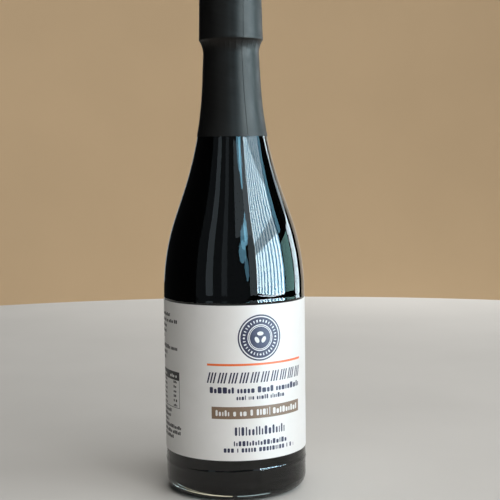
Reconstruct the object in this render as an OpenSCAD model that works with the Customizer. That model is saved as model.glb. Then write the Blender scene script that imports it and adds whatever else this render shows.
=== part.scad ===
// Tall round glass bottle of soy sauce, shut by a screw cap under a shrunk
// black sleeve, with a paper label wrapped round its body.
// Millimetres, +Z up, origin at the centre of the base. The label faces -Y.

/* [Bottle outline] */
// Outer diameter of the round body
body_d = 71; // [60:0.5:86]
// Height from the table to where the shoulder starts to curve in
body_h = 100; // [70:0.5:130]
// Radius of the rounded heel between body and base
heel_r = 6.5; // [4:0.5:9]
// Radius of the full shoulder curve, seen from the side
shoulder_r = 114; // [80:1:150]
// Length of the straight slope between shoulder and neck curves
slope_len = 12; // [4:0.5:20]
// Radius of the hollow curve that leads into the neck
neck_curve_r = 195; // [140:1:250]
// Outer diameter of the neck at the top of the hollow curve
neck_d = 28.8; // [24:0.1:34]
// Slope of the neck above that curve, in degrees
neck_taper = 2.8; // [1:0.1:4]
// Height of the sloping neck, up to where the sleeve leaves the glass
neck_h = 17.5; // [8:0.5:30]

/* [Glass] */
// Thickness of the glass wall
wall = 3; // [1.8:0.1:4]
// Thickness of the glass base
base_t = 4.5; // [3:0.1:7]
// Height of the push-up under the base
punt_h = 3.2; // [1.5:0.1:3.8]
// Width of the flat ring that the bottle stands on
foot_w = 1.5; // [0.8:0.1:3]
// Radius of the corner inside the base
inner_heel_r = 6; // [3:0.5:9]

/* [Contents] */
// Distance from the top of the neck down to the sauce level
fill_gap = 25.5; // [5:0.5:40]

/* [Cap] */
// Thickness of the cap's side at its rim
cap_wall = 1.85; // [1.4:0.05:3]
// Height of the cap
cap_h = 33; // [20:0.5:40]
// Distance from the top of the neck up to the rim of the cap
rim_gap = 3.5; // [1.5:0.1:6]
// Slope of the cap's side, in degrees
cap_draft = 1.2; // [0:0.1:1.5]
// Radius of the cap's upper edge
cap_edge_r = 1.6; // [0.8:0.1:3]
// Thickness of the cap's top
cap_top_t = 2; // [1:0.1:4]
// Running clearance between the cap and the glass mouth, on the radius
cap_clearance = 0.3; // [0.1:0.05:0.6]

/* [Sleeve] */
// Thickness of the shrunk film
film_t = 0.25; // [0.15:0.05:0.6]
// Distance from the foot of the sloping neck down to the lower edge of the sleeve
sleeve_drop = 26.5; // [5:0.5:40]
// Width of the ring of film that curls in over the cap's top
curl_w = 3; // [1:0.5:8]
// Width of the lap seam, where the film lies double
lap_w = 4.7; // [3:0.1:9]
// Direction of the lap seam's middle, in degrees to the right of the label's middle
lap_at = -7.5; // [-180:0.5:180]

/* [Label] */
// Thickness of the paper
paper_t = 0.15; // [0.1:0.05:0.3]
// Height of the label's lower edge above the table
label_gap_low = 21.2; // [12:0.1:40]
// Distance from the label's upper edge up to the start of the shoulder
label_gap_top = 3.4; // [1:0.1:20]
// Width of the strip at the back where the label's ends overlap
overlap_w = 7; // [3:0.5:15]

/* [Hidden] */
$fn = 360;
// Straight pieces in each long curve of the outline, and in the cap's upper edge
curve_steps = 24;
edge_steps = 6;

body_r = body_d / 2;
neck_r = neck_d / 2;

// The outline climbs the body, a full shoulder arc, a straight slope and a hollow arc.
// The slope's angle follows from the two radii that the curves have to join:
// reach * cos(slope) - slope_len * sin(slope) = run
reach = shoulder_r + neck_curve_r;
run = neck_r - body_r + shoulder_r + neck_curve_r * cos(neck_taper);
slope = acos(run / norm([reach, slope_len])) - atan2(slope_len, reach);

shoulder_c = [body_r - shoulder_r, body_h];
slope_low = shoulder_c + shoulder_r * [cos(slope), sin(slope)];
slope_top = slope_low + slope_len * [-sin(slope), cos(slope)];
hollow_c = slope_top + neck_curve_r * [cos(slope), sin(slope)];
neck_low_z = hollow_c[1] - neck_curve_r * sin(neck_taper);
neck_top_z = neck_low_z + neck_h;
mouth_r = neck_r - neck_h * tan(neck_taper);

rim_z = neck_top_z + rim_gap;
mouth_z = rim_z + cap_h - cap_top_t;
cap_r = mouth_r + cap_clearance + cap_wall;
cap_top_r = cap_r - cap_h * tan(cap_draft);

// The push-up is a shallow dome whose edge meets the flat standing ring.
punt_edge_r = body_r - heel_r - foot_w;
punt_r = (punt_edge_r * punt_edge_r + punt_h * punt_h) / (2 * punt_h);
punt_c_z = punt_h - punt_r;

sauce_z = neck_top_z - fill_gap;
sleeve_z = neck_low_z - sleeve_drop;
label_h = body_h - label_gap_low - label_gap_top;
hem_r = cap_top_r - cap_edge_r - curl_w;
lap_angle = lap_w / cap_r * 180 / PI;
overlap_angle = overlap_w / body_r * 180 / PI;

// Points of an arc about centre c, from one angle to another.
function arc(c, r, from, to, steps) = [
    for (i = [0 : steps])
        let (angle = from + (to - from) * i / steps)
        c + r * [cos(angle), sin(angle)]
];

function reversed(points) = [
    for (i = [len(points) - 1 : -1 : 0]) points[i]
];

// Outline of shoulder and slope, moved inwards by inset. A negative inset grows it.
function shoulder_points(inset) =
    arc(shoulder_c, shoulder_r - inset, 0, slope, curve_steps);

// Outline of the hollow curve and the sloping neck, moved inwards by inset.
function neck_points(inset) = concat(
    arc(hollow_c, neck_curve_r + inset, 180 + slope, 180 + neck_taper, curve_steps),
    [[mouth_r - inset / cos(neck_taper), neck_top_z]]
);

// Region between the axis and a run of points climbing from bottom to top.
module solid_profile(points) {
    last = points[len(points) - 1];
    polygon(concat([[0, points[0][1]]], points, [[0, last[1]]]));
}

// Region right of the axis, from one height to another.
module band(low, high, r) {
    translate([0, low]) square([r, high - low]);
}

module right_of_axis() {
    intersection() {
        children();
        band(-body_h, 2 * mouth_z, 2 * body_r);
    }
}

// Half of the space inside the glass, up to the mouth. Its floor follows the push-up.
module cavity_profile() {
    inner_r = body_r - wall;
    corner_z = base_t + inner_heel_r;
    right_of_axis() difference() {
        union() {
            band(base_t, corner_z + 1, inner_r - inner_heel_r);
            translate([inner_r - inner_heel_r, corner_z]) circle(inner_heel_r);
            solid_profile(concat(
                [[inner_r, corner_z]],
                shoulder_points(wall),
                neck_points(wall),
                [[mouth_r - wall, neck_top_z + 1], [mouth_r - wall, mouth_z]]
            ));
        }
        translate([0, punt_c_z]) circle(punt_r + base_t);
    }
}

// Side of the cap from rim to top, with its rounded upper edge, grown by the given amount.
function cap_points(grow) = concat(
    [[cap_r + grow, rim_z]],
    arc(
        [cap_top_r - cap_edge_r, rim_z + cap_h - cap_edge_r],
        cap_edge_r + grow, 0, 90, edge_steps
    )
);

// Radius of the hollow curve at height z, lifted off by the given amount.
function hollow_r(lift, z) =
    hollow_c[0] - sqrt(pow(neck_curve_r - lift, 2) - pow(hollow_c[1] - z, 2));

// Line that the film follows, lifted off by the given amount: up the neck,
// out to the cap's rim, up its side and a little way over its top.
// It runs past both edges of the film by extra.
function film_line(lift, extra = 0) =
    let (low_z = sleeve_z - extra)
    concat(
        [[hollow_r(lift, low_z), low_z]],
        [for (point = neck_points(-lift)) if (point[1] > sleeve_z + 1) point],
        cap_points(lift),
        [[hem_r - extra, rim_z + cap_h + lift]]
    );

// Everything further than one layer of film from that line.
module beyond_film_profile() {
    above_z = rim_z + cap_h + 1;
    polygon(concat(
        film_line(film_t, extra = 1),
        [[hem_r - 1, above_z], [body_r, above_z], [body_r, sleeve_z - 1]]
    ));
}

module bottle() {
    color([0.80, 0.87, 0.84, 0.35]) rotate_extrude() difference() {
        right_of_axis() {
            band(0, heel_r + 1, body_r - heel_r);
            translate([body_r - heel_r, heel_r]) circle(heel_r);
            solid_profile(concat(
                [[body_r, heel_r]],
                shoulder_points(0),
                neck_points(0),
                [[mouth_r, mouth_z]]
            ));
        }
        cavity_profile();
        right_of_axis() translate([0, punt_c_z]) circle(punt_r);
    }
}

module sauce() {
    color([0.06, 0.02, 0.01]) rotate_extrude() intersection() {
        cavity_profile();
        band(0, sauce_z, body_r);
    }
}

module cap() {
    color([0.10, 0.10, 0.10]) rotate_extrude() difference() {
        solid_profile(cap_points(0));
        band(rim_z - 1, mouth_z, mouth_r + cap_clearance);
    }
}

// A shrunk tube of film, two layers thick along its lap seam and one elsewhere.
module sleeve() {
    color([0.13, 0.14, 0.14]) difference() {
        rotate_extrude()
            polygon(concat(film_line(2 * film_t), reversed(film_line(0))));
        rotate(lap_at - 90 + lap_angle / 2)
            rotate_extrude(angle = 360 - lap_angle) beyond_film_profile();
    }
}

// The paper goes once round the body, and its ends overlap at the back.
module label() {
    start = 90 + overlap_angle / 2;
    color([0.93, 0.93, 0.91]) translate([0, 0, label_gap_low]) union() {
        rotate(start) rotate_extrude(angle = 360 - overlap_angle)
            translate([body_r, 0]) square([paper_t, label_h]);
        rotate(start - overlap_angle) rotate_extrude(angle = overlap_angle)
            translate([body_r, 0]) square([2 * paper_t, label_h]);
    }
}

bottle();
sauce();
cap();
sleeve();
label();
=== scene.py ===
"""Looks of a soy sauce bottle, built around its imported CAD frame."""
import random
from math import acos, atan2, ceil, cos, exp, floor, hypot, pi, radians, sin, sqrt, tan

import bmesh
import bpy
from mathutils import Euler, Matrix, Vector


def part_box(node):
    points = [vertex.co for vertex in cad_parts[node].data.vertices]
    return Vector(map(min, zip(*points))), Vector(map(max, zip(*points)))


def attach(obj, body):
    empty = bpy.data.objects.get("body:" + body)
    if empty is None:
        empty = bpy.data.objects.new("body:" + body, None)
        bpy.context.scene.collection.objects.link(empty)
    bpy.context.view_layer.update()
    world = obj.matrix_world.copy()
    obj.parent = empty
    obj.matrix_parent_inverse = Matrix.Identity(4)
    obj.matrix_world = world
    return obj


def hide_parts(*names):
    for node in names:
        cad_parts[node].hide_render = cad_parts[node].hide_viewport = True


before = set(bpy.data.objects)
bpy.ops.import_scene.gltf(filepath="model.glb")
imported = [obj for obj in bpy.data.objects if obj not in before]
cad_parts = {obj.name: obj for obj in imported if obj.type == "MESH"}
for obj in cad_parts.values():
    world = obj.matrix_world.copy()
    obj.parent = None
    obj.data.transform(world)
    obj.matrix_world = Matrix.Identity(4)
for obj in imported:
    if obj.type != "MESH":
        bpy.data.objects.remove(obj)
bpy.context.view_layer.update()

scene = bpy.context.scene
MM = 0.001

# ---------------------------------------------------------------- sizes, in metres

_, bottle_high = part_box("bottle")
_, sauce_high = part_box("sauce")
cap_low, cap_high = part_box("cap")
sleeve_low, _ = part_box("sleeve")
label_low, label_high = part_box("label")

BODY_R = bottle_high.x
MOUTH_Z = bottle_high.z
SAUCE_Z = sauce_high.z
WALL = BODY_R - sauce_high.x
RIM_Z = cap_low.z
CAP_TOP_Z = cap_high.z
CAP_R = cap_high.x
SLEEVE_Z = sleeve_low.z
LABEL_LOW_Z = label_low.z
LABEL_HIGH_Z = label_high.z

# The outline's own sizes, as the CAD source has them.
BODY_H = 100 * MM
HEEL_R = 6.5 * MM
SHOULDER_R = 114 * MM
SLOPE_LEN = 12 * MM
NECK_CURVE_R = 195 * MM
NECK_R = 14.4 * MM
NECK_TAPER = radians(2.8)
NECK_H = 17.5 * MM
BASE_T = 4.5 * MM
PUNT_H = 3.2 * MM
FOOT_W = 1.5 * MM
INNER_HEEL_R = 6 * MM
CAP_DRAFT = radians(1.2)
CAP_EDGE_R = 1.6 * MM
FILM_T = 0.25 * MM
CURL_W = 3 * MM
LAP_W = 4.7 * MM
LAP_AT = radians(-7.5)
PAPER_T = 0.15 * MM
OVERLAP_W = 7 * MM

REACH = SHOULDER_R + NECK_CURVE_R
RUN = NECK_R - BODY_R + SHOULDER_R + NECK_CURVE_R * cos(NECK_TAPER)
SLOPE = acos(RUN / hypot(REACH, SLOPE_LEN)) - atan2(SLOPE_LEN, REACH)
SHOULDER_C = Vector((BODY_R - SHOULDER_R, BODY_H))
SLOPE_OUT = Vector((cos(SLOPE), sin(SLOPE)))
SLOPE_UP = Vector((-sin(SLOPE), cos(SLOPE)))
HOLLOW_C = SHOULDER_C + REACH * SLOPE_OUT + SLOPE_LEN * SLOPE_UP
NECK_LOW_Z = HOLLOW_C.y - NECK_CURVE_R * sin(NECK_TAPER)
NECK_TOP_Z = NECK_LOW_Z + NECK_H
MOUTH_R = NECK_R - NECK_H * tan(NECK_TAPER)
CAP_TOP_R = CAP_R - (CAP_TOP_Z - RIM_Z) * tan(CAP_DRAFT)

PUNT_EDGE_R = BODY_R - HEEL_R - FOOT_W
PUNT_R = (PUNT_EDGE_R**2 + PUNT_H**2) / (2 * PUNT_H)
PUNT_C = Vector((0, PUNT_H - PUNT_R))


# ---------------------------------------------------------------- outlines and meshes

def arc(centre, r, start, end, steps):
    """Points of an arc from one angle to another, as (radius, height)."""
    turn = (end - start) / steps
    return [
        centre + r * Vector((cos(start + i * turn), sin(start + i * turn)))
        for i in range(steps + 1)
    ]


def straight(a, b, steps):
    """Points along a straight line, without its last one."""
    return [a.lerp(b, i / steps) for i in range(steps)]


def bottle_side(inset):
    """The shoulder, slope, hollow curve and neck, from the body's top up to the mouth."""
    shoulder = arc(SHOULDER_C, SHOULDER_R - inset, 0, SLOPE, 48)
    hollow = arc(HOLLOW_C, NECK_CURVE_R + inset, pi + SLOPE, pi + NECK_TAPER, 48)
    neck_top = Vector((MOUTH_R - inset / cos(NECK_TAPER), NECK_TOP_Z))
    return shoulder + straight(shoulder[-1], hollow[0], 6)[1:] + hollow + [neck_top]


def cavity(inset, top_z):
    """The inside's outline from the middle of the floor up to a height."""
    floor_r = PUNT_R + BASE_T - WALL + inset
    corner = Vector((BODY_R - inset - INNER_HEEL_R, BASE_T + INNER_HEEL_R))
    # The domed floor ends where it meets the rounded corner.
    span = corner - PUNT_C
    meet = (floor_r**2 - INNER_HEEL_R**2 + span.length_squared) / (2 * span.length)
    edge_angle = atan2(span.y, span.x) - acos(meet / floor_r)
    dome = arc(PUNT_C, floor_r, pi / 2, edge_angle, 24)
    start = atan2(dome[-1].y - corner.y, dome[-1].x - corner.x)
    bend = arc(corner, INNER_HEEL_R, start, 0, 12)
    side = [p for p in bottle_side(inset) if p.y < top_z]
    body = straight(bend[-1], side[0], 20)[1:]
    return dome + bend[1:] + body + side


def ring_angles(count):
    """Even steps all the way round."""
    return [2 * pi * i / count for i in range(count)]


def mesh_object(name, verts, faces, sharp=30):
    """A smooth-shaded object with sharp edges kept."""
    mesh = bpy.data.meshes.new(name)
    mesh.from_pydata([tuple(v) for v in verts], [], faces)
    mesh.validate()
    mesh.polygons.foreach_set("use_smooth", [True] * len(mesh.polygons))
    mesh.set_sharp_from_angle(angle=radians(sharp))
    obj = bpy.data.objects.new(name, mesh)
    scene.collection.objects.link(obj)
    return obj


def around(r, angle, z):
    """A point at an angle to the right of the label's middle, which faces -Y."""
    return Vector((r * sin(angle), -r * cos(angle), z))


def revolve(name, outline, angles, relief=None, outside=range(0)):
    """A lathed solid. Outline points on the axis become poles, and any other outline closes on itself.
    relief(angle, point) says how far the outline's points listed in outside are pushed out."""
    verts, faces, rows = [], [], []
    for step, point in enumerate(outline):
        if point.x < 1e-9:
            rows.append([len(verts)] * len(angles))
            verts.append(Vector((0, 0, point.y)))
            continue
        rows.append(range(len(verts), len(verts) + len(angles)))
        for angle in angles:
            push = relief(angle, point) if step in outside else 0
            verts.append(around(point.x + push, angle, point.y))
    if outline[0].x > 1e-9:
        rows.append(rows[0])
    for low, high in zip(rows, rows[1:]):
        for i in range(len(angles)):
            j = (i + 1) % len(angles)
            corners = [low[i], low[j], high[j], high[i]]
            faces.append(tuple(dict.fromkeys(corners)))
    return mesh_object(name, verts, faces)


# ---------------------------------------------------------------- materials

def material(name, colour, roughness, **inputs):
    """A new material, with its node tree and its shader."""
    mat = bpy.data.materials.new(name)
    mat.use_nodes = True
    shader = mat.node_tree.nodes["Principled BSDF"]
    shader.inputs["Base Color"].default_value = (*colour, 1)
    shader.inputs["Roughness"].default_value = roughness
    for key, value in inputs.items():
        shader.inputs[key.replace("_", " ")].default_value = value
    return mat, mat.node_tree, shader


def noise(tree, scale, detail=3.0, stretch=(1, 1, 1)):
    """Noise over the object's own coordinates, in cycles to the metre."""
    coords = tree.nodes.new("ShaderNodeTexCoord")
    mapping = tree.nodes.new("ShaderNodeMapping")
    mapping.inputs["Scale"].default_value = stretch
    texture = tree.nodes.new("ShaderNodeTexNoise")
    texture.inputs["Scale"].default_value = scale
    texture.inputs["Detail"].default_value = detail
    tree.links.new(coords.outputs["Object"], mapping.inputs["Vector"])
    tree.links.new(mapping.outputs["Vector"], texture.inputs["Vector"])
    return texture.outputs["Fac"]


def spread(tree, value, low, high):
    """The value, which lies around a half, mapped to run from low to high."""
    node = tree.nodes.new("ShaderNodeMapRange")
    node.inputs["From Min"].default_value = 0.3
    node.inputs["From Max"].default_value = 0.7
    node.inputs["To Min"].default_value = low
    node.inputs["To Max"].default_value = high
    tree.links.new(value, node.inputs["Value"])
    return node.outputs["Result"]


def blend_colours(tree, value, first, second):
    """A mix of two colours that follows the value."""
    node = tree.nodes.new("ShaderNodeMix")
    node.data_type = "RGBA"
    node.inputs[6].default_value = (*first, 1)
    node.inputs[7].default_value = (*second, 1)
    tree.links.new(value, node.inputs[0])
    return node.outputs[2]


def add_bump(tree, shader, height, depth, strength=1.0, under=None):
    """Fine relief on the shader, laid over another bump when under names its normal."""
    node = tree.nodes.new("ShaderNodeBump")
    node.inputs["Distance"].default_value = depth
    node.inputs["Strength"].default_value = strength
    tree.links.new(height, node.inputs["Height"])
    if under:
        tree.links.new(under, node.inputs["Normal"])
    tree.links.new(node.outputs["Normal"], shader.inputs["Normal"])
    return node.outputs["Normal"]


def glass_material():
    """Clear glass with a slight green tint."""
    mat, tree, shader = material(
        "clear_glass", (0.80, 0.88, 0.82), 0.01,
        Transmission_Weight=1.0, IOR=1.52,
    )
    smudge = noise(tree, 60, 4)
    tree.links.new(spread(tree, smudge, 0.0, 0.02), shader.inputs["Roughness"])
    # The slow waviness of blown glass, which bends its reflections a little.
    add_bump(tree, shader, noise(tree, 22, 1, (1, 1, 0.35)), 0.35 * MM, 0.25)
    return mat


def sauce_material():
    """Near-black sauce. It wets the glass, so its own surface doesn't gleam."""
    mat, tree, shader = material("soy_sauce", (0.0005, 0.0003, 0.0002), 0.5, Specular_IOR_Level=0)
    depth = spread(tree, noise(tree, 14, 2), 0, 1)
    shade = blend_colours(tree, depth, (0.00030, 0.00020, 0.00016), (0.00060, 0.00036, 0.00028))
    tree.links.new(shade, shader.inputs["Base Color"])
    return mat


def film_material():
    """Black shrink film with a fine grain and faint hoops."""
    mat, tree, shader = material(
        "shrink_film", (0.009, 0.009, 0.009), 0.45, Specular_IOR_Level=0.235,
        Specular_Tint=(1, 0.87, 0.77, 1),
    )
    cloud = spread(tree, noise(tree, 45, 4), 0, 1)
    shade = blend_colours(tree, cloud, (0.0065, 0.0066, 0.0066), (0.0090, 0.0092, 0.0092))
    tree.links.new(shade, shader.inputs["Base Color"])
    tree.links.new(spread(tree, noise(tree, 120, 3), 0.36, 0.50), shader.inputs["Roughness"])
    grain = add_bump(tree, shader, noise(tree, 2600, 3), 0.02 * MM, 0.6)
    hoops = noise(tree, 260, 3, (0.25, 0.25, 1.6))
    add_bump(tree, shader, hoops, 0.05 * MM, 0.5, under=grain)
    return mat


def cap_material():
    """Black moulded plastic with a fine texture."""
    mat, tree, shader = material("cap_plastic", (0.02, 0.02, 0.021), 0.42)
    cloud = spread(tree, noise(tree, 70, 3), 0, 1)
    shade = blend_colours(tree, cloud, (0.017, 0.017, 0.018), (0.024, 0.024, 0.025))
    tree.links.new(shade, shader.inputs["Base Color"])
    tree.links.new(spread(tree, noise(tree, 300, 3), 0.36, 0.5), shader.inputs["Roughness"])
    add_bump(tree, shader, noise(tree, 1800, 4), 0.03 * MM, 0.6)
    return mat


def paper_material():
    """White label paper, slightly cockled, with its fibres just showing."""
    mat, tree, shader = material("label_paper", (0.80, 0.80, 0.79), 0.48)
    tone = spread(tree, noise(tree, 90, 4), 0, 1)
    shade = blend_colours(tree, tone, (0.79, 0.79, 0.775), (0.82, 0.82, 0.81))
    tree.links.new(shade, shader.inputs["Base Color"])
    tree.links.new(spread(tree, noise(tree, 500, 4), 0.40, 0.55), shader.inputs["Roughness"])
    fibres = add_bump(tree, shader, noise(tree, 1500, 5), 0.02 * MM, 0.5)
    add_bump(tree, shader, noise(tree, 80, 2), 0.10 * MM, 0.2, under=fibres)
    return mat


def ink_material(name, colour, other):
    """Printing ink that varies between two near colours."""
    mat, tree, shader = material(name, colour, 0.4)
    cover = spread(tree, noise(tree, 900, 4), 0, 1)
    tree.links.new(blend_colours(tree, cover, colour, other), shader.inputs["Base Color"])
    tree.links.new(spread(tree, noise(tree, 700, 3), 0.34, 0.48), shader.inputs["Roughness"])
    add_bump(tree, shader, noise(tree, 1500, 4), 0.01 * MM, 0.4)
    return mat


def finish_piece(obj, mat, slot, *replaced):
    """Gives a piece its material, hangs it on the root body and hides the CAD parts it stands in for."""
    obj.data.materials.append(mat)
    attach(obj, "root")
    if replaced:
        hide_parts(*replaced)
    return obj


# ---------------------------------------------------------------- glass and sauce

ROUND = 288
SAUCE_BITE = 0.1 * MM
MOUTH_EDGE_R = 1 * MM

# The lips that stand a little proud of the body, and how far each one's finer mesh reaches.
LOW_LIP_Z = LABEL_LOW_Z - 5.9 * MM
LOW_LIP_H = 0.24 * MM
LOW_LIP_W = 1.1 * MM
LOW_LIP_WAVER = 0.5 * MM
LOW_LIP_SPAN = 3.5 * MM
HIGH_LIP_Z = LABEL_HIGH_Z + 1.1 * MM
HIGH_LIP_H = 0.09 * MM
HIGH_LIP_W = 0.6 * MM
HIGH_LIP_SPAN = 1.5 * MM
# Steps up the body: below, on and above the low lip, then on and above the high one.
BODY_STEPS = (6, 20, 20, 14, 4)
# The mould seams' height and rough half width.
SEAM_H = 0.06 * MM
SEAM_W = 0.35 * MM


def hump(centre, width, value):
    """A smooth bump that is one at its centre and fades to nothing."""
    return exp(-(((value - centre) / width) ** 2))


def glass_relief(angle, point):
    """Mould seams up both sides, and a faint lip below and above the label's panel."""
    off_seam = min(abs(angle - pi / 2), abs(angle - 3 * pi / 2)) * point.x
    seam = SEAM_H * hump(0, SEAM_W, off_seam)
    waver = LOW_LIP_WAVER * sin(2 * angle + 0.6)
    low_lip = LOW_LIP_H * hump(LOW_LIP_Z + waver, LOW_LIP_W, point.y)
    high_lip = HIGH_LIP_H * hump(HIGH_LIP_Z, HIGH_LIP_W, point.y)
    return seam + low_lip + high_lip


def body_line(foot, top):
    """The upright body, without its two ends, with finer steps across each lip."""
    heights = (
        LOW_LIP_Z - LOW_LIP_SPAN,
        LOW_LIP_Z + LOW_LIP_SPAN,
        HIGH_LIP_Z - HIGH_LIP_SPAN,
        HIGH_LIP_Z + HIGH_LIP_SPAN,
    )
    stops = [foot, *(Vector((BODY_R, z)) for z in heights), top]
    points = []
    for start, end, count in zip(stops, stops[1:], BODY_STEPS):
        points += straight(start, end, count)
    return points[1:]


def build_glass():
    """The glass, outside and in: up the outside from the push-up, over the mouth and down the inside."""
    punt = arc(PUNT_C, PUNT_R, pi / 2, atan2(-PUNT_C.y, PUNT_EDGE_R), 24)
    heel = arc(Vector((BODY_R - HEEL_R, HEEL_R)), HEEL_R, -pi / 2, 0, 16)
    side = bottle_side(0)
    body = body_line(heel[-1], side[0])
    mouth_c = Vector((MOUTH_R - MOUTH_EDGE_R, MOUTH_Z - MOUTH_EDGE_R))
    mouth_edge = arc(mouth_c, MOUTH_EDGE_R, 0, pi / 2, 5)
    inner = cavity(WALL, MOUTH_Z) + [Vector((MOUTH_R - WALL, MOUTH_Z))]
    outline = punt + heel + body + side + mouth_edge + inner[::-1]
    outline[0].x = outline[-1].x = 0
    outside = range(len(punt) + 1, len(punt + heel + body + side))
    return revolve("glass_body", outline, ring_angles(ROUND), glass_relief, outside)


def build_sauce():
    """The sauce, up to its level, reaching just into the glass all round."""
    outline = cavity(WALL - SAUCE_BITE, SAUCE_Z)
    outline += [Vector((outline[-1].x, SAUCE_Z)), Vector((0, SAUCE_Z))]
    outline[0].x = 0
    return revolve("soy_sauce", outline, ring_angles(ROUND))


finish_piece(build_glass(), glass_material(), "glass", "bottle")
finish_piece(build_sauce(), sauce_material(), "sauce", "sauce")


# ---------------------------------------------------------------- shrunk sleeve

LAP_HALF = LAP_W / CAP_R / 2
LAP_RIGHT = LAP_AT + LAP_HALF
LAP_LEFT = LAP_AT - LAP_HALF
LAP_GAP = 0.028
LAP_GAP_DEPTH = 0.22 * MM
UNDER_FILM = 0.01 * MM
RIM_EDGE_R = 0.7 * MM
RIM_BEND = 3.5 * MM

# Pleats gathered under the rim, a roll just above it, two creases higher up and a general slackness.
PLEATS = 31
PLEAT_H = 0.10 * MM
PLEAT_SPAN = 2.2 * MM
ROLL_H = 0.10 * MM
ROLL_W = 0.8 * MM
CREASE_H = 0.13 * MM
TUCK_H = 0.10 * MM
CREASE_W = 0.4 * MM
SLACK_H = 0.035 * MM


def smooth_step(low, high, value):
    """An even rise from 0 at low to 1 at high."""
    t = max(0, min(1, (value - low) / (high - low)))
    return t * t * (3 - 2 * t)


def bend(start, corner, end, count):
    """Points on a curve that rounds off a corner, without its last point."""
    points = []
    for i in range(count):
        t = i / count
        points.append(start.lerp(corner, t).lerp(corner.lerp(end, t), t))
    return points


def film_line(lift):
    """The line that the film follows, lifted off it: neck, rim, side and a little of the top."""
    hollow = arc(HOLLOW_C, NECK_CURVE_R - lift, pi + SLOPE, pi + NECK_TAPER, 90)
    low_r = HOLLOW_C.x - sqrt((NECK_CURVE_R - lift) ** 2 - (HOLLOW_C.y - SLEEVE_Z) ** 2)
    start = Vector((low_r, SLEEVE_Z))
    neck = [start] + [p for p in hollow if p.y > SLEEVE_Z + 0.4 * MM]
    neck_top = Vector((MOUTH_R + lift / cos(NECK_TAPER), NECK_TOP_Z))
    rim = Vector((CAP_R + lift, RIM_Z + RIM_EDGE_R * 0.6))
    edge = arc(
        Vector((CAP_TOP_R - CAP_EDGE_R, CAP_TOP_Z - CAP_EDGE_R)), CAP_EDGE_R + lift, 0, pi / 2, 10
    )
    hem = Vector((CAP_TOP_R - CAP_EDGE_R - CURL_W, CAP_TOP_Z + lift))
    rounded_rim = arc(
        Vector((CAP_R + lift - RIM_EDGE_R, rim.y)), RIM_EDGE_R, -0.32 * pi, 0, 6
    )
    bend_low = neck_top.lerp(neck[-1], RIM_BEND / (neck_top - neck[-1]).length)
    bend_high = neck_top.lerp(rounded_rim[0], 0.85)
    return (
        neck
        + straight(neck[-1], bend_low, 26)[1:]
        + bend(bend_low, neck_top, bend_high, 16)
        + rounded_rim
        + straight(rounded_rim[-1], edge[0], 60)[1:]
        + edge
        + straight(edge[-1], hem, 6)[1:]
        + [hem]
    )


def wander(angle, seed):
    """A slow uneven wave round the bottle, between -1 and 1."""
    return (
        sin(3 * angle + seed) + 0.6 * sin(7 * angle + 2.3 * seed) + 0.4 * sin(13 * angle + 4.1 * seed)
    ) / 2


def lap_lean(z):
    """The seam isn't quite upright: it leans one way on the cap and the other on the neck."""
    return 0.03 * smooth_step(RIM_Z, CAP_TOP_Z, z) + 0.06 * smooth_step(NECK_TOP_Z, SLEEVE_Z, z)


def film_relief(angle, point):
    """How far the film's outer face stands off one plain layer: its lap, seam, pleats and creases."""
    z = point.y
    turn = (angle + pi) % (2 * pi) - pi
    second = smooth_step(LAP_LEFT - 0.10, LAP_LEFT + 0.18, turn) * (turn < LAP_RIGHT)
    gap = LAP_GAP_DEPTH * (LAP_RIGHT <= turn < LAP_RIGHT + LAP_GAP)
    upright = smooth_step(SLEEVE_Z, SLEEVE_Z + 2 * MM, z)
    under_rim = hump(NECK_TOP_Z + 0.8 * MM, PLEAT_SPAN, z)
    pleats = PLEAT_H * under_rim * max(0, sin(PLEATS * angle + 2 * wander(angle, 1.7))) ** 3
    roll_z = RIM_Z + (1.2 + 0.2 * wander(angle, 0.4)) * MM
    roll = ROLL_H * hump(roll_z, ROLL_W, z)
    crease_z = RIM_Z + (15.8 + 0.5 * wander(angle, 2.2)) * MM
    crease = CREASE_H * hump(crease_z, CREASE_W, z) * (0.5 + 0.5 * wander(angle, 5.2))
    tuck_z = RIM_Z + (17.6 + 0.4 * wander(angle, 3.6)) * MM
    tuck = TUCK_H * hump(tuck_z, CREASE_W, z) * (0.6 + 0.4 * wander(angle, 1.1))
    slack = SLACK_H * upright * wander(angle, 600 * z)
    return FILM_T * second - gap + pleats + roll + crease + tuck + slack


def film_angles():
    """Even steps round the neck, with extra ones at the lap's edges."""
    steps = ring_angles(400)
    gap_end = LAP_RIGHT + LAP_GAP
    extra = [LAP_RIGHT - 0.001, LAP_RIGHT, gap_end - 0.001, gap_end]
    extra += [LAP_LEFT + 0.01 * i for i in range(-2, 4)]
    return sorted({round(a % (2 * pi), 5) for a in steps + extra})


def build_sleeve():
    """The film, turned a little further at each height so that its seam leans."""
    outer = film_line(FILM_T)
    outline = outer + film_line(UNDER_FILM)[::-1]
    sleeve = revolve("film_sleeve", outline, film_angles(), film_relief, range(len(outer)))
    for vertex in sleeve.data.vertices:
        x, y, z = vertex.co
        lean = lap_lean(z)
        vertex.co = (x * cos(lean) - y * sin(lean), x * sin(lean) + y * cos(lean), z)
    return sleeve


finish_piece(build_sleeve(), film_material(), "film", "sleeve")


# ---------------------------------------------------------------- cap

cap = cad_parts["cap"]
cap.data.materials.clear()
cap.data.materials.append(cap_material())


# ---------------------------------------------------------------- paper label

OVERLAP_HALF = OVERLAP_W / BODY_R / 2
OVERLAP_SLOPE = 0.012
GLUE = 0.01 * MM
CUT_R = 0.03 * MM


def label_thickness(turn):
    """One layer of paper, and two where the ends overlap. turn is measured from the back."""
    if abs(turn) > OVERLAP_HALF + OVERLAP_SLOPE:
        return PAPER_T
    if turn > OVERLAP_HALF:
        return PAPER_T * (1 + smooth_step(OVERLAP_HALF + OVERLAP_SLOPE, OVERLAP_HALF, turn))
    return PAPER_T * (2 if turn > -OVERLAP_HALF else 1)


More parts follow.
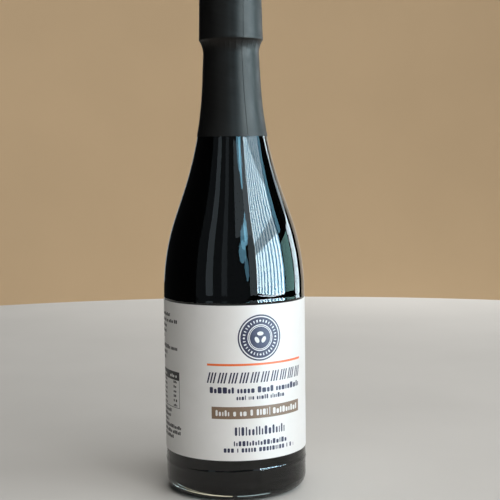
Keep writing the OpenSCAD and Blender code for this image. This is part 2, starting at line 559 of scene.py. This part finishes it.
def build_label():
    """The paper, once round the body, with its cut edges very slightly bevelled."""
    r = BODY_R + GLUE
    low, high = LABEL_LOW_Z, LABEL_HIGH_Z
    face_low = Vector((r + PAPER_T, low + CUT_R))
    face_high = Vector((r + PAPER_T, high - CUT_R))
    edge_low = Vector((r + PAPER_T - CUT_R, low))
    edge_high = Vector((r + PAPER_T - CUT_R, high))
    outer = [edge_low, *straight(face_low, face_high, 24), face_high, edge_high]
    outline = outer + [Vector((r, high)), Vector((r, low))]
    angles = ring_angles(ROUND)
    angles += [pi + s * OVERLAP_HALF + e for s in (-1, 1) for e in (-0.001, 0.001, 0.006, 0.013)]

    def relief(angle, _point):
        return label_thickness(angle - pi) - PAPER_T

    return revolve("paper_label", outline, sorted(angles), relief, range(len(outer)))


finish_piece(build_label(), paper_material(), "label_paper", "label")


# ---------------------------------------------------------------- print on the label

INK_T = 0.02 * MM
INK_BITE = 0.004 * MM
PRINT_R = BODY_R + GLUE + PAPER_T
CUT_EVERY = 1.0 * MM
SAME_POINT = 0.0005 * MM


def block(s, z, w, h, lean=0.0, corner=0.0):
    """A rectangle with its lower left corner at s, z. lean slides its top, corner cuts its corners."""
    c = min(corner, w / 2.2, h / 2.2)
    if c == 0:
        return [(s, z), (s + w, z), (s + w + lean, z + h), (s + lean, z + h)]
    return [
        (s + c, z), (s + w - c, z), (s + w, z + c), (s + w, z + h - c),
        (s + w - c, z + h), (s + c, z + h), (s, z + h - c), (s, z + c),
    ]


def disc(s, z, r, steps=64):
    """A round field."""
    return [
        (s + r * cos(2 * pi * i / steps), z + r * sin(2 * pi * i / steps)) for i in range(steps)
    ]


def ring_part(s, z, inner_r, outer_r, start=0.0, end=2 * pi, steps=96):
    """A ring, or a stretch of one, as four-sided fields."""
    fields = []
    for i in range(steps):
        a = start + (end - start) * i / steps
        b = start + (end - start) * (i + 1) / steps
        fields.append([
            (s + outer_r * cos(a), z + outer_r * sin(a)),
            (s + outer_r * cos(b), z + outer_r * sin(b)),
            (s + inner_r * cos(b), z + inner_r * sin(b)),
            (s + inner_r * cos(a), z + inner_r * sin(a)),
        ])
    return fields


def print_layer(name, fields, mat, lift=0.0):
    """One ink: flat fields, given in mm along the paper and in height, wrapped on to it."""
    bm = bmesh.new()
    for field in fields:
        bm.faces.new([bm.verts.new((s * MM, 0, z * MM)) for s, z in field])
    bmesh.ops.remove_doubles(bm, verts=bm.verts, dist=SAME_POINT)
    low = min(v.co.x for v in bm.verts)
    high = max(v.co.x for v in bm.verts)
    for i in range(ceil(low / CUT_EVERY), floor(high / CUT_EVERY) + 1):
        bmesh.ops.bisect_plane(
            bm, geom=bm.verts[:] + bm.edges[:] + bm.faces[:],
            plane_co=(i * CUT_EVERY, 0, 0), plane_no=(1, 0, 0),
        )
    top = bmesh.ops.extrude_face_region(bm, geom=bm.faces[:])["geom"]
    for v in top:
        if isinstance(v, bmesh.types.BMVert):
            v.co.y = INK_T
    for v in bm.verts:
        r = PRINT_R + lift + v.co.y - INK_BITE
        v.co = around(r, v.co.x / PRINT_R, v.co.z)
    bmesh.ops.recalc_face_normals(bm, faces=bm.faces)
    mesh = bpy.data.meshes.new(name)
    bm.to_mesh(mesh)
    bm.free()
    mesh.polygons.foreach_set("use_smooth", [True] * len(mesh.polygons))
    mesh.set_sharp_from_angle(angle=radians(30))
    obj = bpy.data.objects.new(name, mesh)
    scene.collection.objects.link(obj)
    return finish_piece(obj, mat, "label_paper")


draw = random.Random(48)


def greek_row(s0, s1, z, h, gap, widths, tall=0.0):
    """A row of plain upright blocks that stands for a line of small print.
    widths are the least and greatest block, and tall is the share that reaches full height."""
    fields, s = [], s0
    while s < s1 - widths[0] / 2:
        w = min(draw.uniform(*widths), s1 - s)
        height = h if draw.random() < tall else h * 0.74
        fields.append(block(s, z, w, height, corner=0.12 * h))
        s += w + gap * (3.2 if draw.random() < 0.16 else 1)
    return fields


def hatch_block(s, z, w, h, strokes, share=0.5):
    """A square field of slanting strokes."""
    pitch = w / strokes
    lean = pitch * 0.9
    return [
        block(s + i * pitch - lean / 2 + pitch * 0.25, z, pitch * share, h, lean=lean)
        for i in range(strokes)
    ]


SEAL_S, SEAL_Z, SEAL_R = 0.0, 80.8, 11.2
SEAL_TICKS = 32
TICK_HALF_H = 0.62


def seal_fields():
    """A round seal of plain rings, with a band of ticks and beans on a disc in the middle."""
    navy = ring_part(SEAL_S, SEAL_Z, 0.935 * SEAL_R, SEAL_R)
    navy += ring_part(SEAL_S, SEAL_Z, 0.575 * SEAL_R, 0.885 * SEAL_R)
    navy += ring_part(SEAL_S, SEAL_Z, 0.505 * SEAL_R, 0.535 * SEAL_R)
    navy.append(disc(SEAL_S, SEAL_Z, 0.475 * SEAL_R))
    white = []
    middle = 0.73 * SEAL_R
    for i in range(SEAL_TICKS):
        a = 2 * pi * i / SEAL_TICKS
        if i % 8 == 0:
            white.append(disc(SEAL_S + middle * cos(a), SEAL_Z + middle * sin(a), 0.5, 12))
            continue
        half = 0.030 if i % 3 else 0.042
        inner, outer = middle - TICK_HALF_H, middle + TICK_HALF_H
        white += ring_part(SEAL_S, SEAL_Z, inner, outer, a - half, a + half, steps=3)
    white += bean_fields(SEAL_S, SEAL_Z)
    return navy, white


def bean_fields(s, z):
    """Three plain round-ended beans in a triangle."""
    fields = []
    for k in range(3):
        a = pi / 2 + 2 * pi * k / 3
        cs, cz = s + 2.0 * cos(a), z + 2.0 * sin(a)
        points = []
        for i in range(32):
            t = 2 * pi * i / 32
            long, short = 1.65 * cos(t), 1.0 * sin(t)
            points.append((
                cs + long * cos(a + pi / 2) - short * sin(a + pi / 2),
                cz + long * sin(a + pi / 2) + short * cos(a + pi / 2),
            ))
        fields.append(points)
    return fields


PANEL_LEFT, PANEL_W = -26.4, 52.8
TITLE_SIGNS = 10
TITLE_PITCH = 5.3


def main_panel():
    """The front of the label: seal, rule, title, banner and rows, all as plain shapes."""
    navy, white = seal_fields()
    for i in range(TITLE_SIGNS):
        navy += hatch_block(PANEL_LEFT + i * TITLE_PITCH, 59.1, 4.5, 5.2, 3, 0.52)
    navy += greek_row(-25.2, 24.9, 54.2, 3.0, 0.5, (0.9, 2.3), tall=0.25)
    navy += greek_row(-12.1, 13.3, 50.9, 2.3, 0.42, (0.45, 1.3), tall=0.35)
    navy += greek_row(-13.1, 13.7, 33.4, 4.4, 0.75, (0.55, 1.5), tall=0.6)
    navy += greek_row(-13.7, 14.7, 28.4, 2.5, 0.55, (0.5, 1.6), tall=0.7)
    navy += greek_row(-18.6, 19.8, 25.3, 2.1, 0.5, (0.5, 1.5), tall=0.95)
    brown = [block(-24.4, 41.7, 49.2, 5.9)]
    white += greek_row(-22.4, 3.4, 43.1, 3.0, 0.6, (0.5, 1.6), tall=0.7)
    white.append(block(4.4, 42.8, 0.35, 3.8))
    white += greek_row(6.4, 22.8, 43.1, 3.0, 0.6, (0.5, 1.6), tall=0.7)
    orange = [block(PANEL_LEFT, 67.5, PANEL_W, 1.05)]
    return navy, white, brown, orange


TABLE_S = (-84.0, -43.9)
TABLE_Z = (44.2, 62.3)
TABLE_HEAD = 4.2
TABLE_ROWS = 6
TABLE_RULE = 0.28


def side_panel():
    """The small print beside the main panel: rows of marks above and below a ruled table."""
    black, white = [], []
    rows = [
        (-86, -52, 89.2, 1.8), (-86, -44.8, 86.2, 1.8), (-86, -57, 83.4, 1.8), (-86, -58, 80.6, 1.8),
        (-86, -62, 77.8, 1.8), (-86, -44.5, 72.8, 2.1), (-86, -57, 69.9, 1.8), (-86, -60, 67.1, 1.8),
        (-86, -52, 41.4, 1.8), (-86, -53, 38.8, 1.8), (-86, -56, 36.2, 1.8), (-86, -43.2, 33.6, 1.8),
        (-86, -43.4, 31.0, 1.8), (-86, -49.6, 28.4, 1.8),
    ]
    for s0, s1, z, h in rows:
        black += greek_row(s0, s1, z, h, 0.3, (0.9, 1.6), tall=0.6)
    (left, right), (bottom, top) = TABLE_S, TABLE_Z
    side_z = bottom + TABLE_RULE
    side_h = top - TABLE_HEAD - bottom - TABLE_RULE
    black.append(block(left, top - TABLE_HEAD, right - left, TABLE_HEAD))
    black.append(block(left, bottom, right - left, TABLE_RULE))
    black.append(block(left, side_z, TABLE_RULE, side_h))
    black.append(block(right - TABLE_RULE, side_z, TABLE_RULE, side_h))
    row_h = (top - TABLE_HEAD - bottom) / TABLE_ROWS
    for i in range(TABLE_ROWS):
        z = bottom + i * row_h + 0.7
        black += greek_row(left + 1.6, left + 13, z, 1.3, 0.32, (0.8, 1.4), tall=0.5)
        black += greek_row(left + 20, left + 26, z, 1.3, 0.32, (0.8, 1.3), tall=0.5)
        black += greek_row(right - 5.4, right - 2.2, z, 1.3, 0.32, (0.8, 1.2), tall=0.5)
    head_z = top - TABLE_HEAD + 1.2
    for s0, s1 in ((left + 1.6, left + 9), (left + 18, left + 26), (right - 9, right - 1.6)):
        white += greek_row(s0, s1, head_z, 1.6, 0.35, (0.9, 1.5), tall=0.6)
    return black, white


# The two near colours that each ink varies between.
INKS = {
    "navy": ((0.012, 0.013, 0.045), (0.017, 0.018, 0.058)),
    "orange": ((0.88, 0.17, 0.025), (0.82, 0.155, 0.022)),
    "brown": ((0.22, 0.142, 0.088), (0.20, 0.130, 0.080)),
    "black": ((0.016, 0.016, 0.018), (0.024, 0.024, 0.026)),
    "white": ((0.80, 0.80, 0.79), (0.76, 0.76, 0.75)),
}


def add_print():
    """All the inks. White lies on top of the others."""
    navy, white, brown, orange = main_panel()
    black, head = side_panel()
    layers = {"navy": navy, "orange": orange, "brown": brown, "black": black, "white": white + head}
    for ink, fields in layers.items():
        mat = ink_material(f"{ink}_ink", *INKS[ink])
        print_layer(f"print_{ink}", fields, mat, lift=INK_T if ink == "white" else 0.0)


add_print()


# ---------------------------------------------------------------- camera

# Where the photograph was taken from. Angles turn right from the label's middle.
VIEW_AT = radians(-20.1)
VIEW_REACH = 579.2 * MM
VIEW_Z = 167.9 * MM
VIEW_PAN = radians(0.817)
VIEW_TILT = radians(4.70)
VIEW_ROLL = radians(-0.70)
LENS = 82.7


def add_camera():
    """The camera, at the photograph's own viewing angle."""
    data = bpy.data.cameras.new("camera")
    data.lens = LENS
    data.sensor_width = 36
    data.clip_start = 0.01
    cam = bpy.data.objects.new("camera", data)
    cam.location = around(VIEW_REACH, VIEW_AT, VIEW_Z)
    look = Matrix.Rotation(VIEW_AT - VIEW_PAN, 4, "Z")
    tilt = Euler((pi / 2 - VIEW_TILT, 0, 0)).to_matrix().to_4x4()
    roll = Matrix.Rotation(VIEW_ROLL, 4, "Z")
    cam.rotation_euler = (look @ tilt @ roll).to_euler()
    scene.collection.objects.link(cam)
    scene.camera = cam


# ---------------------------------------------------------------- stage and light

TENT_R = 0.78
TENT_H = 2.2


def stage_material(name, colour, roughness):
    """A plain matt surface with slow changes of tone."""
    mat, tree, shader = material(name, colour, roughness, Specular_IOR_Level=0)
    tone = spread(tree, noise(tree, 6, 3), 0, 1)
    darker = tuple(0.94 * c for c in colour)
    tree.links.new(blend_colours(tree, tone, colour, darker), shader.inputs["Base Color"])
    worn = spread(tree, noise(tree, 40, 3), roughness - 0.06, roughness + 0.06)
    tree.links.new(worn, shader.inputs["Roughness"])
    return mat


def add_stage():
    """A pale floor, and a plain warm wall all round it that neither shades nor lights the bottle."""
    edge = Vector((TENT_R, 0))
    floor_line = [Vector((0, 0)), *straight(Vector((0.02, 0)), edge, 20), edge]
    ground = revolve_sheet("stage_floor", floor_line)
    wall = revolve_sheet("stage_wall", [edge, Vector((TENT_R, TENT_H))])
    ground.data.materials.append(stage_material("floor_cloth", (0.63, 0.62, 0.59), 0.85))
    wall.data.materials.append(stage_material("wall_card", (0.60, 0.44, 0.27), 0.9))
    wall.visible_glossy = False
    wall.visible_shadow = False
    wall.visible_diffuse = False
    wall.visible_transmission = False


def revolve_sheet(name, outline):
    """An open lathed sheet, for the stage only."""
    angles = ring_angles(96)
    verts = [around(p.x, a, p.y) for p in outline for a in angles]
    n = len(angles)
    faces = [
        (k * n + i, k * n + (i + 1) % n, (k + 1) * n + (i + 1) % n, (k + 1) * n + i)
        for k in range(len(outline) - 1) for i in range(n)
    ]
    return mesh_object(name, verts, faces)


def area_light(
    name, at, reach, z, width, height, power, colour, aim_z=0.11, gleam_only=False,
    shape="RECTANGLE", roll=0.0,
):
    """A lamp that either lights surfaces or only gleams in them and shows through glass."""
    data = bpy.data.lights.new(name, "AREA")
    data.shape = shape
    data.size = width
    data.size_y = height
    data.energy = power
    data.color = colour
    lamp = bpy.data.objects.new(name, data)
    lamp.location = around(reach, at, z)
    target = Vector((0, 0, z if aim_z is None else aim_z))
    aim = (target - lamp.location).to_track_quat("-Z", "Y").to_matrix()
    lamp.rotation_euler = (aim @ Matrix.Rotation(roll, 3, "Z")).to_euler()
    lamp.visible_camera = False
    lamp.visible_glossy = gleam_only
    lamp.visible_diffuse = not gleam_only
    lamp.visible_transmission = gleam_only
    scene.collection.objects.link(lamp)


LAMP_REACH = 1.25
DAYLIGHT = (0.76, 0.91, 1.0)
SKY = (0.30, 0.73, 1.0)
LEAVES = (0.5, 1.0, 0.95)
SILL_Z = -0.02
TOP_Z = 1.35


def pane(name, first, last, low_z, high_z, radiance, colour=DAYLIGHT, shape="RECTANGLE", roll=0):
    """An upright pane that only gleams in glossy surfaces. Angles turn right from the camera."""
    width, height = radians(last - first) * LAMP_REACH, high_z - low_z
    area_light(
        name, VIEW_AT + radians((first + last) / 2), LAMP_REACH, (low_z + high_z) / 2,
        width, height, radiance * pi * width * height, colour, aim_z=None, gleam_only=True,
        shape=shape, roll=radians(roll),
    )


def patch(name, first, last, low_z, high_z, radiance, roll):
    """A leaning oval patch of sky between leaves."""
    pane(name, first, last, low_z, high_z, radiance, SKY, "ELLIPSE", roll)


WINDOW_AT = VIEW_AT + radians(78)
WINDOW_LEFT, WINDOW_RIGHT = -1.09, 0.27
WINDOW_LOW_Z, WINDOW_HIGH_Z = -0.035, 2.6
WINDOW_BAR_Z = (0.53, 0.72)
SLATS = 9
SLAT_SHARE = 0.6
GAP_DIM = 0.38
GAP_TINT = (0.32, 0.70, 1.0, 1)
SLAT_TINT = (0.70, 0.90, 1.0, 1)
# How strongly the window shines below the bar, on it and above it.
LOW_LEVEL, BAR_LEVEL, HIGH_LEVEL = 24, 9, 18


def number(tree, operation, *values):
    """A Math node; each value is a number or another node's output."""
    node = tree.nodes.new("ShaderNodeMath")
    node.operation = operation
    for i, value in enumerate(values):
        if isinstance(value, (int, float)):
            node.inputs[i].default_value = value
        else:
            tree.links.new(value, node.inputs[i])
    return node.outputs[0]


def shade_window(tree, height):
    """Upright slats, and a dim bar across them, over the lamp's own width and height."""
    place = tree.nodes.new("ShaderNodeNewGeometry")
    split = tree.nodes.new("ShaderNodeSeparateXYZ")
    tree.links.new(place.outputs["Parametric"], split.inputs[0])
    across, up = split.outputs["X"], split.outputs["Y"]
    within_pitch = number(tree, "FRACT", number(tree, "MULTIPLY", across, SLATS))
    slat = number(tree, "LESS_THAN", within_pitch, SLAT_SHARE)
    bar_low, bar_high = ((z - WINDOW_LOW_Z) / height for z in WINDOW_BAR_Z)
    over_bar = number(tree, "GREATER_THAN", up, bar_low)
    over_top = number(tree, "GREATER_THAN", up, bar_high)
    drop = number(tree, "MULTIPLY", over_bar, LOW_LEVEL - BAR_LEVEL)
    rise = number(tree, "MULTIPLY", over_top, HIGH_LEVEL - BAR_LEVEL)
    level = number(tree, "ADD", number(tree, "SUBTRACT", LOW_LEVEL, drop), rise)
    dim = number(tree, "ADD", number(tree, "MULTIPLY", slat, 1 - GAP_DIM), GAP_DIM)
    tint = tree.nodes.new("ShaderNodeMix")
    tint.data_type = "RGBA"
    tint.inputs["A"].default_value = GAP_TINT
    tint.inputs["B"].default_value = SLAT_TINT
    tree.links.new(slat, tint.inputs["Factor"])
    emission = tree.nodes["Emission"]
    tree.links.new(tint.outputs["Result"], emission.inputs["Color"])
    tree.links.new(number(tree, "MULTIPLY", level, dim), emission.inputs["Strength"])


def add_window():
    """A tall flat window on the right, which only gleams in glossy surfaces."""
    width, height = WINDOW_RIGHT - WINDOW_LEFT, WINDOW_HIGH_Z - WINDOW_LOW_Z
    middle = (WINDOW_LEFT + WINDOW_RIGHT) / 2
    middle_z = (WINDOW_LOW_Z + WINDOW_HIGH_Z) / 2
    data = bpy.data.lights.new("window", "AREA")
    data.shape = "RECTANGLE"
    data.size = width
    data.size_y = height
    data.energy = pi * width * height
    data.use_nodes = True
    shade_window(data.node_tree, height)
    lamp = bpy.data.objects.new("window", data)
    out = around(LAMP_REACH, WINDOW_AT, middle_z)
    along = around(middle, WINDOW_AT + pi / 2, 0)
    lamp.location = out + along
    lamp.rotation_euler = (-around(1, WINDOW_AT, 0)).to_track_quat("-Z", "Y").to_euler()
    lamp.visible_camera = False
    lamp.visible_diffuse = False
    scene.collection.objects.link(lamp)


def add_gleams():
    """What else the glass mirrors: dim panes of sky, frame, leaves, ceiling and wall."""
    pane("sill", 37, 90, -0.046, -0.03, 12)
    pane("frame", 25, 37, SILL_Z, 1.2, 1.0)
    pane("beyond_frame", 91, 99, 0.50, TOP_Z, 4, SKY)
    pane("garden", 92, 114, SILL_Z, 0.42, 2.2, LEAVES)
    pane("far_pane", 117, 132, -0.05, 0.42, 7)
    pane("far_pane_top", 128, 142, 0.38, 0.52, 2.2)
    pane("backdrop", 142, 178, -0.30, 1.2, 0.8, (1, 0.86, 0.68))
    patch("sky_high", 20, 27, 0.58, 1.00, 6.5, -4)
    patch("sky_mid", 13, 24, 0.52, 0.90, 3.5, -14)
    patch("sky_low", 9, 21, 0.36, 0.66, 3.5, -20)
    patch("sky_foot", 18, 24, 0.14, 0.46, 2.4, 6)
    pane("ceiling", 3, 37, 0.72, 1.3, 0.8)
    pane("soft_left", -46, -34, -0.02, TOP_Z, 0.62)
    pane("soft_front", -20, -11, -0.02, TOP_Z, 0.26)
    pane("room", -75, 36, -0.10, TOP_Z, 0.11)
    pane("back", 180, 200, SILL_Z, TOP_Z, 0.5)


def add_lights():
    """The window and its gleams, and four lamps that light without being mirrored."""
    add_window()
    add_gleams()
    area_light("key", VIEW_AT + radians(61), 1.25, 0.65, 1.35, 1.2, 13.5, (0.97, 0.98, 1.0))
    area_light("front", VIEW_AT + radians(23), 1.3, 0.9, 0.9, 1.0, 8.5, (1, 0.98, 0.96))
    area_light("back", VIEW_AT + radians(165), 1.3, 0.4, 1.0, 0.7, 10, (1, 0.98, 0.96))
    area_light("wash", VIEW_AT + radians(30), 0.55, 2.1, 1.4, 1.4, 11, (1, 0.98, 0.95))


def add_world():
    """A little soft light from all round, and near darkness in mirrored directions."""
    world = bpy.data.worlds.new("studio")
    world.use_nodes = True
    tree = world.node_tree
    tree.nodes.clear()
    out = tree.nodes.new("ShaderNodeOutputWorld")
    mix = tree.nodes.new("ShaderNodeMixShader")
    path = tree.nodes.new("ShaderNodeLightPath")
    soft = tree.nodes.new("ShaderNodeBackground")
    soft.inputs["Color"].default_value = (1.0, 0.96, 0.90, 1)
    soft.inputs["Strength"].default_value = 0.05
    dark = tree.nodes.new("ShaderNodeBackground")
    dark.inputs["Color"].default_value = (0.010, 0.011, 0.012, 1)
    tree.links.new(path.outputs["Is Glossy Ray"], mix.inputs["Fac"])
    tree.links.new(soft.outputs["Background"], mix.inputs[1])
    tree.links.new(dark.outputs["Background"], mix.inputs[2])
    tree.links.new(mix.outputs["Shader"], out.inputs["Surface"])
    scene.world = world


add_camera()
add_stage()
add_lights()
add_world()
scene.view_settings.view_transform = "Standard"
